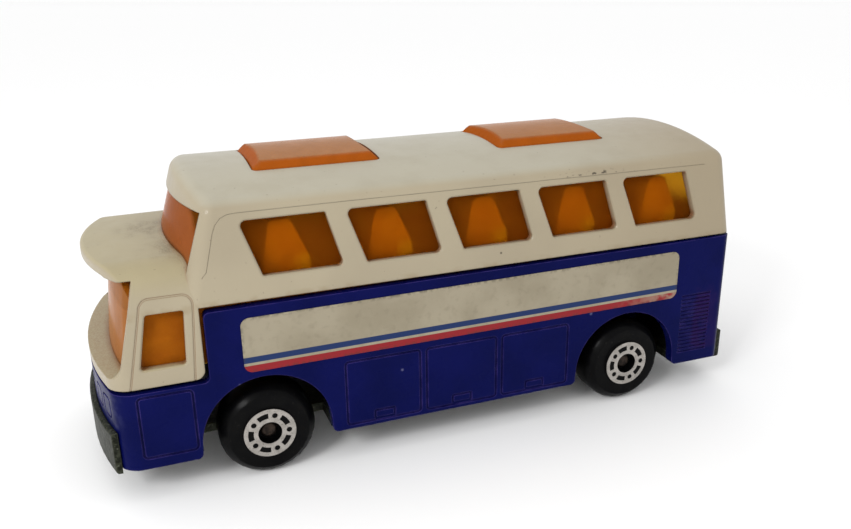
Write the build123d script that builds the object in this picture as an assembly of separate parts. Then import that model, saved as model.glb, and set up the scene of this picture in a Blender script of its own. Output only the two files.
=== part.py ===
from build123d import *
import os
from math import sqrt

# A die-cast toy coach bus. Millimetres, +X to the front, +Y to its left side, +Z up, ground at Z 0.

# Overall
length = 77.0
width = 27.3
fit_gap = 0.05
edge_round = 0.6

# Wheels and axle pins
tyre_radius = 5.2
tyre_width = 4.4
tyre_shoulder = 1.1
tyre_lip = 0.3
hub_radius = 2.85
hub_inset = 0.3
hub_rise = 0.2
wheel_dish = 1.8
boss_radius = 1.7
foil_thick = 0.06
hub_marks = 5
mark_circle = 2.05
dot_radius = 0.3
dash_length = 1.2
dash_width = 0.6
axle_radius = 0.7
axle_head_radius = 0.9
axle_head_thick = 0.45
axle_well_radius = 1.23
axle_well_depth = 1.1
running_gap = 0.05
front_overhang = 17.7
rear_overhang = 15.1

# Lower shell
skirt_z = 3.9
cab_side_height = 8.5
waist_height = 16.05
waist_rise = 0.3
cab_length = 12.1
front_bow = 40.0
front_round = 2.4
rear_round = 1.2
shell_wall = 1.2
ledge_drop = 1.45
ledge_depth = 0.5
ledge_height = 2.0
arch_room = 1.7
arch_flare = 0.4
front_arch_shift = 0.1
rear_arch_shift = 0.4

# Base plate, bumpers and rivets
plate_rise = 0.1
plate_thick = 1.0
carrier_half = 1.9
carrier_drop = 0.6
pad_length = 22.0
pad_width = 11.0
pad_drop = 0.5
bumper_drop = 0.55
bumper_height = 4.65
bumper_thick = 0.6
bumper_margin = 0.95
rear_bumper_drop = 0.8
rear_bumper_height = 3.7
rear_bumper_thick = 1.25
rear_bumper_margin = 1.15
tongue_half = 10.0
well_wall = 0.9
well_wall_rise = 3.0
wheel_room = 0.35
rivet_inset = 5.0
rivet_radius = 0.9
rivet_head_radius = 1.8
rivet_head_thick = 0.4
post_wall = 0.8
post_height = 5.5
rib_thick = 1.2

# Upper shell: the raised coach part
upper_wall = 1.0
upper_gap = 0.2
upper_inset = 0.3
tumblehome = 0.095
window_sill = 2.32
window_height = 5.83
roof_rise = 3.7
crown_radius = 40.0
shoulder_round = 1.7
brow_round = 1.6
coach_nose = 2.7
coach_front_bow = 34.0
coach_front_lean = 0.31
coach_rear_inset = -0.3
coach_rear_lean = 0.13

# Upper shell: the cab and its peak
cab_joint = 0.4
cab_inset = 0.25
cab_roof_rise = 4.5
cab_roof_slope = 0.01
cab_crown = 200.0
cab_shoulder_round = 5.0
cab_corner_round = 1.0
sill_height = 1.2
sill_margin = 2.2
pillar_margin = 0.64
pillar_sweep = 1.5
pillar_lean = 2.3
peak_drop = 1.4
peak_setback = 1.3
peak_bow = 22.0
peak_edge_round = 0.4

# Windows: like side panes that lean back, spread evenly over the side
window_count = 5
window_front_margin = 4.32
window_rear_margin = 6.06
window_pillar = 2.13
window_low_shift = 2.0
window_narrowing = 0.35
window_sharp = 0.3
window_soft = 0.55
window_bevel = 0.15
cab_window_sill = 1.9
cab_window_height = 5.75
cab_window_margin = 1.4
cab_window_width = 3.65
cab_window_spread = 0.3
cab_window_lean = 1.05
front_window_drop = 2.7
front_window_margin = 1.2
rear_window_margin = 3.9
rear_window_trim = 0.4

# Amber insert
glass_thick = 0.7
glass_gap = 0.08
pane_inset = 0.35
pane_round = 0.6
screen_setback = 2.85
screen_bow = 48.0
screen_round = 2.2
screen_lean = 0.115
roof_light_half = 5.8
roof_light_rise = 0.75
roof_light_slope = 45
roof_light_length = 14.1
roof_light_front_margin = 9.85
roof_light_rear_margin = 14.3

# Seat tray
deck_thick = 1.0
cab_floor_gap = 0.2
seat_rows = 5
seat_front_margin = 11.3
seat_rear_margin = 5.0
seat_height = 3.85
seat_depth = 5.7
seat_back_height = 8.1
cab_seat_margin = 0.3
back_thick = 2.2
back_lean = 1.6
aisle_half = 1.8
seat_side_gap = 0.6

# Paper labels
label_front_margin = 3.5
label_rear_margin = 8.85
label_drop = 1.0
label_height = 6.0
label_round = 0.9
label_thick = 0.1
label_tilt = 0.35

# Cast lines
groove = 0.25
groove_depth = 0.2
panel_count = 3
panel_front_margin = 1.6
panel_rear_margin = 1.2
panel_split = 0.5
panel_top_gap = 0.3
panel_low_gap = 0.4
panel_round = 0.5
handle_width = 2.5
handle_height = 1.2
handle_rise = 0.2
door_rear_margin = 1.7
door_width = 5.6
door_low_gap = 1.1
door_top_gap = 0.35
louvre_rear_margin = 3.6
louvre_width = 4.2
louvre_low_gap = 1.6
louvre_count = 16
louvre_pitch = 0.5
lamp_width = 2.2
lamp_height = 2.5
lamp_pitch = 2.9
lamp_margin = 3.2
lamp_drop = 2.1
grille_half = 5.4
grille_count = 4
grille_pitch = 0.8
tail_lamp_width = 1.6
tail_lamp_height = 4.0
tail_lamp_margin = 2.4
rear_louvre_half = 6.5
rear_louvre_count = 6
rear_louvre_pitch = 0.9
line_front_margin = 2.4
line_lean = 1.0
line_foot_rise = 1.9
line_foot_drop = 1.2
line_foot_reach = 1.1
line_rise = 0.83
line_round = 1.0
line_width = 0.2
line_depth = 0.06
cab_line_margin = 0.4
cab_line_width = 4.95
cab_line_rear_lean = 0.65
cab_line_front_lean = 1.95
cab_line_rise = 1.5

# Places that follow from the sizes above
far = 2 * length
half_width = width / 2
front_x = length / 2
rear_x = -length / 2
body_front_x = front_x - bumper_thick - fit_gap
body_rear_x = rear_x + rear_bumper_thick + fit_gap
cab_edge_x = front_x - cab_length
cab_gap = cab_joint - fit_gap
cab_rear_x = cab_edge_x + cab_gap
coach_front_x = cab_edge_x + coach_nose
coach_rear_x = body_rear_x + coach_rear_inset
axles = {"front": front_x - front_overhang, "rear": rear_x + rear_overhang}
arches = {"front": axles["front"] + front_arch_shift, "rear": axles["rear"] + rear_arch_shift}
arch_radius = tyre_radius + arch_room
rivet_places = {1: body_front_x - rivet_inset, -1: body_rear_x + rivet_inset}
sides = {"left": 1, "right": -1}

cab_sill_z = skirt_z + cab_side_height
waist_front_z = skirt_z + waist_height
waist_rear_z = waist_front_z + waist_rise
waist_z = waist_rear_z + upper_gap
window_low_z = waist_z + window_sill
window_top_z = window_low_z + window_height
crest_z = window_top_z + roof_rise
cab_low_z = cab_sill_z + cab_joint
sill_top_z = cab_low_z + sill_height
cab_roof_z = waist_z + cab_roof_rise
peak_low_z = cab_roof_z - peak_drop
plate_z = skirt_z + plate_rise
plate_top_z = plate_z + plate_thick
ledge_z = waist_front_z - ledge_drop
deck_z = ledge_z + fit_gap
deck_top_z = deck_z + deck_thick
glass_low_z = deck_top_z + glass_gap
screen_low_z = sill_top_z + fit_gap
screen_x = front_x - screen_setback
post_top_z = plate_top_z + fit_gap + post_height

cab_half = half_width - cab_inset
waist_half = half_width - upper_inset
glass_skin = upper_wall + glass_gap
wheel_face_y = half_width - hub_inset
well_y = wheel_face_y - tyre_width - wheel_room


def bow_drop(bow, half):
    """How far a bowed line falls back at half its width."""
    return bow - sqrt(bow**2 - half**2)


def cab_corner_x(half):
    """How far forward the bowed front lies at half the cab's width."""
    return body_front_x - bow_drop(front_bow, half)


def block(x_range, y_range, z_range):
    size = [high - low for low, high in (x_range, y_range, z_range)]
    centre = [(high + low) / 2 for low, high in (x_range, y_range, z_range)]
    return Pos(*centre) * Box(*size)


def band(y_limit, x_range=(-far, far), z_range=(-far, far)):
    """Everything within a distance of the middle plane."""
    return block(x_range, (-y_limit, y_limit), z_range)


def disc(x, z, radius):
    """A cylinder right across the bus."""
    return Pos(x, 0, z) * Rot(90, 0, 0) * Cylinder(radius, far)


def plan(apex, bow, half, rear):
    """Outline seen from above: a bowed front, straight sides and a flat rear."""
    corner = apex - bow_drop(bow, half)
    sides_line = Polyline((corner, half), (rear, half), (rear, -half), (corner, -half))
    front_line = ThreePointArc((corner, -half), (apex, 0), (corner, half))
    return make_face(sides_line.edges() + front_line.edges())


def rounded_plan(apex, bow, half, rear, front_fillet, rear_fillet):
    face = plan(apex, bow, half, rear)
    face = fillet(face.vertices().group_by(Axis.X)[0], rear_fillet)
    return fillet(face.vertices().group_by(Axis.X)[-1], front_fillet)


def across(sketch):
    """A side view sketch carried right across the bus."""
    return extrude(Plane.XZ * sketch, far, both=True)


def outline(points, radii):
    return make_face(FilletPolyline(*points, radius=radii, close=True))


def frame(x_range, z_range, round_off):
    """A thin rectangular line, drawn flat."""
    wide = x_range[1] - x_range[0]
    tall = z_range[1] - z_range[0]
    line = RectangleRounded(wide, tall, round_off)
    line -= RectangleRounded(wide - 2 * groove, tall - 2 * groove, round_off / 2)
    return Pos(sum(x_range) / 2, sum(z_range) / 2) * line


def bar(x_range, z, tall):
    return Pos(sum(x_range) / 2, z) * Rectangle(x_range[1] - x_range[0], tall)


# Lower shell
def body_plan(inset):
    return rounded_plan(body_front_x - inset, front_bow - inset, half_width - inset, body_rear_x + inset,
                        front_round - inset / 2, rear_round - inset / 2)


def body_profile():
    """The shell from the side: low at the cab, high behind it, with an arch over each wheel."""
    face = outline([(rear_x, skirt_z), (front_x, skirt_z), (front_x, cab_sill_z), (cab_edge_x, cab_sill_z),
                    (cab_edge_x, waist_front_z), (body_rear_x, waist_rear_z), (rear_x, waist_rear_z)],
                   [0, 0, 0, edge_round, edge_round, 0, 0])
    for x in arches.values():
        foot = arch_radius + arch_flare
        face -= Pos(x, tyre_radius) * Circle(arch_radius)
        face -= make_face(Polyline((x - arch_radius, tyre_radius), (x + arch_radius, tyre_radius),
                                   (x + foot, 0), (x - foot, 0), close=True))
    feet = face.vertices().group_by(Axis.Y)[0].filter_by(lambda v: abs(v.X) < front_x - edge_round)
    return fillet(feet, edge_round)


def side_lines():
    """Luggage doors with their handles, the cab door and the rear louvres, drawn from the side."""
    front = arches["front"] - arch_radius - panel_front_margin
    rear = arches["rear"] + arch_radius + panel_rear_margin
    pitch = (front - rear + panel_split) / panel_count
    low = skirt_z + panel_low_gap
    lines = Sketch()
    for number in range(panel_count):
        start = front - number * pitch
        end = start - pitch + panel_split
        middle = (start + end) / 2
        lines += frame((end, start), (low, cab_sill_z - panel_top_gap), panel_round)
        lines += frame((middle - handle_width / 2, middle + handle_width / 2),
                       (low + handle_rise, low + handle_rise + handle_height), groove)
    door_x = cab_edge_x + door_rear_margin
    door_z = (skirt_z + door_low_gap, cab_sill_z - door_top_gap)
    lines += frame((door_x, door_x + door_width), door_z, edge_round)
    louvre_x = rear_x + louvre_rear_margin
    for number in range(louvre_count):
        z = skirt_z + louvre_low_gap + number * louvre_pitch
        lines += bar((louvre_x, louvre_x + louvre_width), z, louvre_pitch / 2)
    return lines


def front_lines():
    """Paired lamps and a slotted grille, drawn from the front."""
    z = cab_sill_z - lamp_drop
    lamp_z = (z - lamp_height / 2, z + lamp_height / 2)
    lines = Sketch()
    for sign in sides.values():
        for number in range(2):
            y = sign * (half_width - lamp_margin - number * lamp_pitch)
            lines += frame((y - lamp_width / 2, y + lamp_width / 2), lamp_z, edge_round)
    for number in range(grille_count):
        level = z + (number - (grille_count - 1) / 2) * grille_pitch
        lines += bar((-grille_half, grille_half), level, grille_pitch / 2)
    return lines


def rear_lines():
    """Upright tail lamps and engine louvres, drawn from behind."""
    z = cab_sill_z - tail_lamp_height / 2
    lines = Sketch()
    for sign in sides.values():
        y = sign * (half_width - tail_lamp_margin)
        lines += frame((y - tail_lamp_width / 2, y + tail_lamp_width / 2),
                       (z - tail_lamp_height / 2, z + tail_lamp_height / 2), groove)
    for number in range(rear_louvre_count):
        level = z + (number - (rear_louvre_count - 1) / 2) * rear_louvre_pitch
        lines += bar((-rear_louvre_half, rear_louvre_half), level, rear_louvre_pitch / 2)
    return lines


def make_body():
    profile = across(body_profile())
    shell = extrude(body_plan(0), far) & profile
    shell -= extrude(body_plan(shell_wall), far)
    rim = body_plan(shell_wall) - body_plan(shell_wall + ledge_depth)
    ledge = extrude(Pos(0, 0, ledge_z - ledge_height) * rim, ledge_height)
    shell += ledge & block((body_rear_x, cab_edge_x - edge_round), (-far, far), (0, far))
    shell -= band(tongue_half, z_range=(0, plate_top_z + fit_gap))
    for sign, x in rivet_places.items():
        place = Pos(x, 0, post_top_z - post_height / 2)
        wall_x = body_front_x - shell_wall / 2 if sign > 0 else body_rear_x + shell_wall / 2
        rib = band(rib_thick / 2, sorted((x, wall_x)), (post_top_z - post_height, post_top_z))
        shell += place * Cylinder(rivet_radius + post_wall, post_height) + rib
        shell -= place * Cylinder(rivet_radius + fit_gap, post_height)
    skin = extrude(body_plan(0), far) - extrude(body_plan(groove_depth), far)
    shell -= skin & across(side_lines())
    shell -= skin & extrude(Plane.YZ * front_lines(), far)
    return shell - (skin & extrude(Plane.YZ * rear_lines(), -far))


# Upper shell
def side_face_y(z):
    return waist_half - tumblehome * (z - waist_z)


def shoulder_z(inset):
    """The height where a leaning side would meet the roof's crown, found by a few closing steps."""
    z = window_top_z
    for _ in range(12):
        z = crest_z - inset - bow_drop(crown_radius - inset, side_face_y(z) - inset)
    return z


def coach_form(inset, low_z, end_round=brow_round):
    """The raised coach part, drawn in by an inset, carried down to a level and rounded at its ends."""
    top = shoulder_z(inset)
    half = side_face_y(top) - inset
    foot = side_face_y(low_z) - inset
    sides_line = Polyline((half, top), (foot, low_z), (-foot, low_z), (-half, top))
    crown = ThreePointArc((-half, top), (0, crest_z - inset), (half, top))
    section = make_face(sides_line.edges() + crown.edges())
    section = fillet(section.vertices().group_by(Axis.Y)[-1], shoulder_round - inset / 2)
    tube = extrude(Plane.YZ * section, far, both=True)
    front_x_low = coach_front_x - inset + coach_front_lean * (cab_roof_z - low_z)
    nose = Pos(0, 0, low_z) * plan(front_x_low, coach_front_bow - inset, half_width, -far)
    rear_x_low = coach_rear_x + inset - coach_rear_lean * (waist_z - low_z)
    tail = Pos(0, 0, low_z) * plan(far, far, half_width, rear_x_low)
    form = tube & extrude(nose, far, dir=(-coach_front_lean, 0, 1))
    form &= extrude(tail, far, dir=(coach_rear_lean, 0, 1))
    ends = form.edges().filter_by(lambda e: e.bounding_box().size.Z > fit_gap and e.length < length / 2)
    return fillet(ends, end_round - inset / 2)


def cab_roof(inset):
    """The crowned cab roof and its sides, which slope a little down to the front."""
    half = cab_half - inset
    top_z = cab_roof_z - inset
    edge_z = top_z - bow_drop(cab_crown - inset, half)
    sides_line = Polyline((half, edge_z), (half, 0), (-half, 0), (-half, edge_z))
    crown = ThreePointArc((-half, edge_z), (0, top_z), (half, edge_z))
    section = make_face(sides_line.edges() + crown.edges())
    section = fillet(section.vertices().group_by(Axis.Y)[-1], cab_shoulder_round - inset)
    start_x = cab_edge_x - upper_wall
    start_z = cab_roof_slope * (coach_front_x - start_x)
    return extrude(Pos(start_x, 0, start_z) * (Plane.YZ * section), far, dir=(1, 0, -cab_roof_slope))


def make_cab():
    foot_x = cab_corner_x(cab_half) - pillar_margin
    top_x = foot_x - pillar_lean
    walls = extrude(rounded_plan(body_front_x, front_bow, cab_half, cab_edge_x, front_round, fit_gap), far)
    points = [(cab_rear_x, cab_low_z), (far, cab_low_z), (far, sill_top_z), (foot_x, sill_top_z),
              (top_x, peak_low_z), (top_x, far), (cab_rear_x, far)]
    profile = across(outline(points, [cab_corner_round, 0, 0, pillar_sweep, 0, 0, 0]))
    lower = walls & profile & cab_roof(0)
    brim = extrude(plan(front_x - peak_setback, peak_bow, cab_half, cab_rear_x), far)
    peak = cab_roof(0) & brim & block((cab_rear_x, far), (-far, far), (peak_low_z, far))
    tips = peak.edges().filter_by(lambda e: e.bounding_box().min.X > cab_rear_x + fit_gap)
    tips = tips.filter_by(lambda e: e.bounding_box().max.Z > peak_low_z + fit_gap)
    peak = fillet(tips, peak_edge_round)
    return lower + (peak - cab_roof(upper_wall))


def cab_hollow(inset):
    half = cab_half - inset
    room = band(half, (cab_rear_x - inset, far), (sill_top_z, far)) & cab_roof(inset)
    sill_x = cab_corner_x(cab_half) - sill_margin
    return room + band(half, (cab_rear_x - inset, sill_x), (0, sill_top_z))


def window_points(number):
    front = cab_edge_x - window_front_margin
    rear = rear_x + window_rear_margin + window_low_shift
    pitch = (front - rear + window_pillar) / window_count
    top = front - number * pitch
    wide = pitch - window_pillar
    low = top - window_low_shift
    return [(top, window_top_z), (top - wide, window_top_z),
            (low - wide + window_narrowing, window_low_z), (low, window_low_z)]


def cab_window_points():
    low_z = cab_low_z + cab_window_sill
    top_z = low_z + cab_window_height
    rear = cab_rear_x + cab_window_margin
    return [(rear + cab_window_width, top_z), (rear, top_z), (rear + cab_window_spread, low_z),
            (rear + cab_window_width + cab_window_lean, low_z)]


def side_planes(y_face, mid_z, lean, depth):
    """A plane under each side face, with its own X forward, and the sign that turns Z to its own Y."""
    for sign in sides.values():
        normal = Vector(0, sign, lean).normalized()
        yield sign, Plane(Vector(0, sign * y_face, mid_z) - normal * depth, (1, 0, 0), normal)


def pane_cut(points, radii, y_face, lean):
    """A window through both side walls, its edge bevelled on the outside."""
    mid_z = (points[0][1] + points[2][1]) / 2
    cut = Part()
    for sign, face in side_planes(y_face, mid_z, lean, window_bevel):
        pane = outline([(x, -sign * (z - mid_z)) for x, z in points], radii)
        cut += extrude(face * pane, -2 * upper_wall)
        cut += extrude(face * pane, 2 * window_bevel, taper=-45)
    return cut


def line_cut(points, round_off, y_face, lean):
    """A fine line sunk into both side faces of the upper shell."""
    mid_z = (points[0][1] + points[-1][1]) / 2
    cut = Part()
    for sign, face in side_planes(y_face, mid_z, lean, line_depth):
        path = FilletPolyline(*[(x, -sign * (z - mid_z)) for x, z in points], radius=round_off)
        cut += extrude(face * trace(path, line_width), upper_wall)
    return cut


def cab_door_line():
    """A fine line round the upper half of each cab door, which follows the round of the roof."""
    rear = cab_rear_x + cab_line_margin
    front = rear + cab_line_width
    top_z = cab_window_points()[0][1] + cab_line_rise
    path = FilletPolyline((rear + cab_line_rear_lean, cab_low_z - line_width), (rear, top_z), (front, top_z),
                          (front + cab_line_front_lean, cab_low_z - line_width), radius=line_round)
    return across(trace(path, line_width)) & (cab_roof(-fit_gap) - cab_roof(line_depth))


def front_opening(gap):
    """The opening for the upper front pane, between the cab roof and the brow."""
    half = side_face_y(cab_roof_z) - front_window_margin - gap
    room = band(half, (cab_rear_x - 3 * upper_wall, far), (waist_z, crest_z - front_window_drop - gap))
    return room - cab_roof(-gap - fit_gap)


def rear_opening(gap):
    half = half_width - rear_window_margin - gap
    return band(half, (-far, coach_rear_x + 3 * upper_wall),
                (window_low_z + rear_window_trim + gap, window_top_z - rear_window_trim - gap))


def roof_light(number, gap):
    """A roof light's outline from above: the first is set back from the front, the second from the rear."""
    half_length = roof_light_length / 2
    middles = [coach_front_x - roof_light_front_margin - half_length,
               coach_rear_x + roof_light_rear_margin + half_length]
    face = RectangleRounded(roof_light_length - 2 * gap, 2 * (roof_light_half - gap), edge_round)
    return Pos(middles[number], 0, window_top_z) * face


def make_upper():
    shell = coach_form(0, waist_z) + make_cab()
    shell -= coach_form(upper_wall, waist_z - upper_wall)
    shell -= cab_hollow(upper_wall)
    window_mid_z = (window_low_z + window_top_z) / 2
    corners = [window_soft, window_sharp, window_soft, window_sharp]
    for number in range(window_count):
        shell -= pane_cut(window_points(number), corners, side_face_y(window_mid_z), tumblehome)
    shell -= pane_cut(cab_window_points(), window_sharp, cab_half, 0)
    shell -= cab_door_line()
    shell -= front_opening(0)
    shell -= rear_opening(0)
    for number in range(2):
        shell -= extrude(roof_light(number, 0), far)
    line_front = cab_edge_x - line_front_margin
    foot_x = line_front + line_lean
    foot_z = window_low_z + line_foot_rise
    line_z = window_top_z + line_rise
    line = [(foot_x + line_foot_reach, foot_z - line_foot_drop), (foot_x, foot_z), (line_front, line_z),
            (rear_x, line_z)]
    return shell - line_cut(line, line_round, side_face_y(window_mid_z), tumblehome)


# Amber insert
def cab_glass(inset):
    half = cab_half - glass_skin - inset
    face = rounded_plan(screen_x - inset, screen_bow - inset, half, 0, screen_round - inset, fit_gap)
    return extrude(Pos(0, 0, screen_low_z) * face, far, dir=(-screen_lean, 0, 1))


def raised_crown(rise):
    """The roof's crown over a light, lifted by its rise."""
    edge_z = crest_z - bow_drop(crown_radius, roof_light_half) + rise
    half = roof_light_half
    sides_line = Polyline((half, edge_z), (half, waist_z), (-half, waist_z), (-half, edge_z))
    crown = ThreePointArc((-half, edge_z), (0, crest_z + rise), (half, edge_z))
    return extrude(Plane.YZ * make_face(sides_line.edges() + crown.edges()), far, both=True)


def make_glazing():
    inner = coach_form(glass_skin + glass_thick, glass_low_z - glass_thick)
    shell = coach_form(glass_skin, glass_low_z) - inner
    shell -= block((cab_rear_x + glass_thick, far), (-far, far), (0, cab_roof_z - glass_thick))
    shell -= block((-far, body_rear_x + shell_wall + glass_gap), (-far, far), (0, waist_z))
    pad = coach_form(pane_inset, glass_low_z, pane_round)
    pad -= coach_form(glass_skin + glass_thick / 2, glass_low_z - glass_thick)
    shell += pad & front_opening(glass_gap)
    shell += pad & rear_opening(glass_gap)
    light_edge_z = crest_z - bow_drop(crown_radius, roof_light_half)
    for number in range(2):
        face = roof_light(number, glass_gap)
        light = extrude(face, light_edge_z - window_top_z)
        top = Pos(0, 0, light_edge_z - window_top_z) * face
        light += extrude(top, 2 * roof_light_rise, taper=roof_light_slope)
        shell += (light & raised_crown(roof_light_rise)) - inner
    cab = (cab_glass(0) - cab_glass(glass_thick)) & cab_roof(glass_skin)
    return shell + (cab & band(far, (cab_edge_x - cab_gap, far)))


# Seat tray
def bench(x, low_z, back_height, outer_y):
    """A row of wedge-shaped seats beside an aisle; x is the rear foot, under a step in the back."""
    top_x = x + seat_depth - back_lean
    top_z = low_z + back_height
    points = [(x, low_z - fit_gap), (x + seat_depth, low_z - fit_gap), (top_x, top_z),
              (top_x - back_thick, top_z), (x, low_z + seat_height)]
    row = across(outline(points, [0, 0, edge_round, edge_round, edge_round]))
    return (row & band(outer_y)) - band(aisle_half, z_range=(low_z, far))


def make_seats():
    """The tray on the shell's ledge, its bench rows, and the lower cab floor with the driver's bench."""
    rear = body_rear_x + shell_wall + glass_gap
    front = cab_edge_x - cab_gap - glass_gap
    deck = rounded_plan(front, far, half_width - shell_wall - glass_gap, rear, edge_round, rear_round)
    tray = extrude(Pos(0, 0, deck_z) * deck, deck_thick)
    back_top = deck_top_z + seat_back_height
    outer_y = side_face_y(back_top) - glass_skin - glass_thick - seat_side_gap
    first_x = front - seat_front_margin
    pitch = (first_x - rear - seat_rear_margin) / (seat_rows - 1)
    for row in range(seat_rows):
        tray += bench(first_x - row * pitch, deck_top_z, seat_back_height, outer_y)
    floor_z = cab_low_z + cab_floor_gap
    floor_front = cab_corner_x(cab_half) - sill_margin - glass_gap
    floor_top_z = floor_z + deck_thick
    back_height = glass_low_z - glass_gap - floor_top_z
    tray += band(outer_y, (front - deck_thick, front), (floor_z, deck_top_z))
    tray += band(outer_y, (front - deck_thick, floor_front), (floor_z, floor_top_z))
    return tray + bench(floor_front - cab_seat_margin - seat_depth, floor_top_z, back_height, outer_y)


# Base plate with its bumpers
def bumper_plan(inset):
    return plan(front_x - inset, front_bow + bumper_thick - inset, half_width, 0)


def axle_slot(x):
    """A slot, open at the top, in which an axle pin lies."""
    radius = axle_radius + running_gap
    return disc(x, tyre_radius, radius) + band(far, (x - radius, x + radius), (tyre_radius, far))


def make_base():
    plate = extrude(Pos(0, 0, plate_z) * body_plan(shell_wall + fit_gap), plate_thick)
    tongue = tongue_half - fit_gap
    plate += extrude(Pos(0, 0, plate_z) * bumper_plan(0), plate_thick) & band(tongue, (0, far))
    plate += band(tongue, (rear_x + rear_bumper_thick / 2, 0), (plate_z, plate_top_z))
    plate += band(pad_width / 2, (-pad_length / 2, pad_length / 2), (plate_z - pad_drop, plate_top_z))
    low_z = plate_z - bumper_drop
    front = extrude(Pos(0, 0, low_z) * (bumper_plan(0) - bumper_plan(bumper_thick)), bumper_height)
    front &= band(half_width - bumper_margin, (0, far))
    bows = front.edges().filter_by(GeomType.CIRCLE)
    plate += fillet(bows.filter_by(lambda e: e.radius > front_bow + bumper_thick / 2), bumper_thick / 2)
    rear = band(half_width - rear_bumper_margin, (rear_x, rear_x + rear_bumper_thick),
                (plate_z - rear_bumper_drop, plate_z - rear_bumper_drop + rear_bumper_height))
    plate += fillet(rear.edges().group_by(Axis.X)[0], rear_bumper_thick / 2)
    for x in axles.values():
        plate -= block((x - arch_radius, x + arch_radius), (well_y, far), (0, far))
        plate -= block((x - arch_radius, x + arch_radius), (-far, -well_y), (0, far))
        plate += band(well_y, (x - carrier_half, x + carrier_half), (plate_z - carrier_drop, plate_top_z))
        for sign in sides.values():
            wall_y = sorted((sign * (well_y - well_wall), sign * well_y))
            wall_z = (plate_z, tyre_radius + well_wall_rise)
            plate += block((x - carrier_half, x + carrier_half), wall_y, wall_z)
        plate -= axle_slot(x)
    for x in rivet_places.values():
        plate -= Pos(x, 0, plate_z) * Cylinder(rivet_radius + fit_gap, 4 * plate_thick)
    return plate


def make_rivets():
    rivets = Part()
    for x in rivet_places.values():
        head = Cylinder(rivet_head_radius, rivet_head_thick, align=(Align.CENTER, Align.CENTER, Align.MAX))
        head = fillet(head.edges().group_by(Axis.Z)[0], rivet_head_thick * 0.8)
        shank = Cylinder(rivet_radius, plate_thick + fit_gap + post_height,
                         align=(Align.CENTER, Align.CENTER, Align.MIN))
        rivets += Pos(x, 0, plate_z) * (head + shank)
    return rivets


# Wheels and axle pins
def make_axle(x):
    reach = wheel_face_y - axle_well_depth + running_gap
    pin = Pos(x, 0, tyre_radius) * Rot(90, 0, 0) * Cylinder(axle_radius, 2 * reach)
    for sign in sides.values():
        cap = Cylinder(axle_head_radius, axle_head_thick, align=(Align.CENTER, Align.CENTER, Align.MIN))
        cap = fillet(cap.edges().group_by(Axis.Z)[-1], axle_head_thick * 0.8)
        pin += Pos(x, sign * reach, tyre_radius) * Rot(-90 * sign, 0, 0) * cap
    return pin


def wheel_place(x, sign):
    """The wheel's face centre, with the wheel's own +Y pointing out of the bus."""
    return Pos(x, sign * wheel_face_y, tyre_radius) * Rot(0, 0, 0 if sign > 0 else 180)


def make_wheel(x, sign):
    """Half a section of radius and depth, from the bore out over the hub and the tyre and back inside."""
    bore = axle_radius + running_gap
    inner = -tyre_width
    dish = inner + wheel_dish
    wall = hub_radius + tyre_lip
    points = [(bore, -axle_well_depth), (axle_well_radius, -axle_well_depth), (axle_well_radius, 0),
              (hub_radius, 0), (hub_radius, -hub_rise), (wall, -hub_rise),
              (tyre_radius - tyre_lip, -hub_rise), (tyre_radius, -hub_rise - tyre_shoulder),
              (tyre_radius, inner + tyre_lip), (tyre_radius - tyre_lip, inner),
              (tyre_radius - tyre_shoulder, inner), (tyre_radius - tyre_shoulder, dish),
              (boss_radius, dish), (boss_radius, inner), (bore, inner)]
    radii = [0] * 6 + [tyre_shoulder, tyre_shoulder / 2] + [0] * 7
    return wheel_place(x, sign) * revolve(outline(points, radii), Axis.Y)


def make_hub(x, sign):
    """Silver foil on the wheel's face, pierced by dots and dashes in turn."""
    ring = Circle(hub_radius - running_gap) - Circle(axle_well_radius + running_gap)
    ring -= PolarLocations(mark_circle, hub_marks, start_angle=180 / hub_marks) * Circle(dot_radius)
    reach = dash_length * hub_radius / mark_circle
    wedge = make_face(Polyline((0, 0), (2 * hub_radius, reach), (2 * hub_radius, -reach), close=True))
    dash = (Circle(mark_circle + dash_width / 2) - Circle(mark_circle - dash_width / 2)) & wedge
    ring -= PolarLocations(0, hub_marks) * dash
    return wheel_place(x, sign) * extrude(Plane.XZ * ring, -foil_thick)


# Paper labels
def make_label(sign):
    front = cab_edge_x - label_front_margin
    rear = rear_x + label_rear_margin
    middle_z = waist_front_z - label_drop - label_height / 2
    face = Plane(((front + rear) / 2, sign * half_width, middle_z), (1, 0, 0), (0, sign, 0))
    sheet = Rot(0, 0, sign * label_tilt) * RectangleRounded(front - rear, label_height, label_round)
    return extrude(face * sheet, label_thick)


parts = {
    "body": make_body(),
    "upper": make_upper(),
    "glazing": make_glazing(),
    "seats": make_seats(),
    "base": make_base(),
    "rivets": make_rivets(),
}
for end, x in axles.items():
    parts[f"axle_{end}"] = make_axle(x)
    for side, sign in sides.items():
        parts[f"wheel_{end}_{side}"] = make_wheel(x, sign)
        parts[f"hub_{end}_{side}"] = make_hub(x, sign)
for side, sign in sides.items():
    parts[f"label_{side}"] = make_label(sign)

os.makedirs("parts", exist_ok=True)
for node, solid in parts.items():
    export_step(solid, f"parts/{node}.step")
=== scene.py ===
# %% [markdown]
# # A die-cast toy coach, dressed around its CAD frame
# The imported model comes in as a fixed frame: every solid is already at its real size and place, in
# metres, with +X to the toy's front, +Y to its left side and +Z up. Nothing here moves a solid. The
# lesson gives each surface its finish and adds the small forms that only a mesh shows well.

# %% Load the frame
import math
import bpy
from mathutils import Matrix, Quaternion, Vector


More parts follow.
